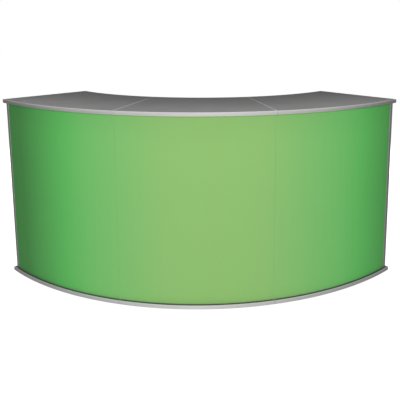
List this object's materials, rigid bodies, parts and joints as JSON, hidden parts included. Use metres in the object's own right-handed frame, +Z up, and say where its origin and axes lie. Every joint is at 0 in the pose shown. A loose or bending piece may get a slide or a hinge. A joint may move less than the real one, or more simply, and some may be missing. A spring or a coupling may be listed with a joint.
{
  "type": "exhibition counter",
  "caption": "Curved exhibition counter in a quarter ring, with a dark worktop, a printed front, storage shelves behind and levelling feet.",
  "frame": {"origin": "on the floor, under the middle of the counter's box", "axes": "+Z up, +X to the right of someone who faces the printed front, +Y from the front to the staff side"},
  "size_m": [2.1214, 0.7928, 0.984],
  "materials": {
    "dark_laminate": "satin dark-grey laminate on board",
    "silver_edging": "satin silver edging",
    "panel_print": "matt print, yellow-green in the middle and greener to the sides",
    "magnet_tape": "matt flexible magnetic tape",
    "satin_aluminium": "satin anodised",
    "zinc_steel": "zinc plated",
    "foot_plastic": "black moulded plastic"
  },
  "bodies": {
    "frame": {"base_board_centre": "dark_laminate", "base_board_left": "dark_laminate", "base_board_right": "dark_laminate", "base_edging_centre": "silver_edging", "base_edging_left": "silver_edging", "base_edging_right": "silver_edging", "base_panel_rails": "satin_aluminium", "bearer_brackets": "zinc_steel", "bracket_screws": "zinc_steel", "flange_screws": "zinc_steel", "foot_inserts": "zinc_steel", "front_upright_left_end": "satin_aluminium", "front_upright_left_joint": "satin_aluminium", "front_upright_right_end": "satin_aluminium", "front_upright_right_joint": "satin_aluminium", "rail_screws": "zinc_steel", "rear_upright_left_end": "satin_aluminium", "rear_upright_left_joint": "satin_aluminium", "rear_upright_right_end": "satin_aluminium", "rear_upright_right_joint": "satin_aluminium", "shelf_bearer_left_end": "satin_aluminium", "shelf_bearer_left_joint": "satin_aluminium", "shelf_bearer_right_end": "satin_aluminium", "shelf_bearer_right_joint": "satin_aluminium", "shelf_centre": "dark_laminate", "shelf_edgings": "silver_edging", "shelf_left": "dark_laminate", "shelf_pins": "zinc_steel", "shelf_right": "dark_laminate", "top_board_centre": "dark_laminate", "top_board_left": "dark_laminate", "top_board_right": "dark_laminate", "top_edging_centre": "silver_edging", "top_edging_left": "silver_edging", "top_edging_right": "silver_edging", "top_panel_rails": "satin_aluminium"},
    "panel_left": {"front_panel_left": "panel_print", "panel_tape_left": "magnet_tape"},
    "panel_centre": {"front_panel_centre": "panel_print", "panel_tape_centre": "magnet_tape"},
    "panel_right": {"front_panel_right": "panel_print", "panel_tape_right": "magnet_tape"},
    "foot_front_left_end": {"foot_stud_front_left_end": "zinc_steel", "foot_pad_front_left_end": "foot_plastic"},
    "foot_front_left_joint": {"foot_stud_front_left_joint": "zinc_steel", "foot_pad_front_left_joint": "foot_plastic"},
    "foot_front_right_joint": {"foot_stud_front_right_joint": "zinc_steel", "foot_pad_front_right_joint": "foot_plastic"},
    "foot_front_right_end": {"foot_stud_front_right_end": "zinc_steel", "foot_pad_front_right_end": "foot_plastic"},
    "foot_rear_left_end": {"foot_stud_rear_left_end": "zinc_steel", "foot_pad_rear_left_end": "foot_plastic"},
    "foot_rear_left_joint": {"foot_stud_rear_left_joint": "zinc_steel", "foot_pad_rear_left_joint": "foot_plastic"},
    "foot_rear_right_joint": {"foot_stud_rear_right_joint": "zinc_steel", "foot_pad_rear_right_joint": "foot_plastic"},
    "foot_rear_right_end": {"foot_stud_rear_right_end": "zinc_steel", "foot_pad_rear_right_end": "foot_plastic"}
  },
  "joints": [
    {"name": "panel_left_pull", "type": "slide", "parent": "frame", "child": "panel_left", "axis": [-0.5, -0.866, 0], "range_m": [0, 0.2]},
    {"name": "panel_centre_pull", "type": "slide", "parent": "frame", "child": "panel_centre", "axis": [0, -1, 0], "range_m": [0, 0.2]},
    {"name": "panel_right_pull", "type": "slide", "parent": "frame", "child": "panel_right", "axis": [0.5, -0.866, 0], "range_m": [0, 0.2]},
    {"name": "foot_front_left_end_level", "type": "slide", "parent": "frame", "child": "foot_front_left_end", "axis": [0, 0, -1], "range_m": [0, 0.015]},
    {"name": "foot_front_left_joint_level", "type": "slide", "parent": "frame", "child": "foot_front_left_joint", "axis": [0, 0, -1], "range_m": [0, 0.015]},
    {"name": "foot_front_right_joint_level", "type": "slide", "parent": "frame", "child": "foot_front_right_joint", "axis": [0, 0, -1], "range_m": [0, 0.015]},
    {"name": "foot_front_right_end_level", "type": "slide", "parent": "frame", "child": "foot_front_right_end", "axis": [0, 0, -1], "range_m": [0, 0.015]},
    {"name": "foot_rear_left_end_level", "type": "slide", "parent": "frame", "child": "foot_rear_left_end", "axis": [0, 0, -1], "range_m": [0, 0.015]},
    {"name": "foot_rear_left_joint_level", "type": "slide", "parent": "frame", "child": "foot_rear_left_joint", "axis": [0, 0, -1], "range_m": [0, 0.015]},
    {"name": "foot_rear_right_joint_level", "type": "slide", "parent": "frame", "child": "foot_rear_right_joint", "axis": [0, 0, -1], "range_m": [0, 0.015]},
    {"name": "foot_rear_right_end_level", "type": "slide", "parent": "frame", "child": "foot_rear_right_end", "axis": [0, 0, -1], "range_m": [0, 0.015]}
  ]
}
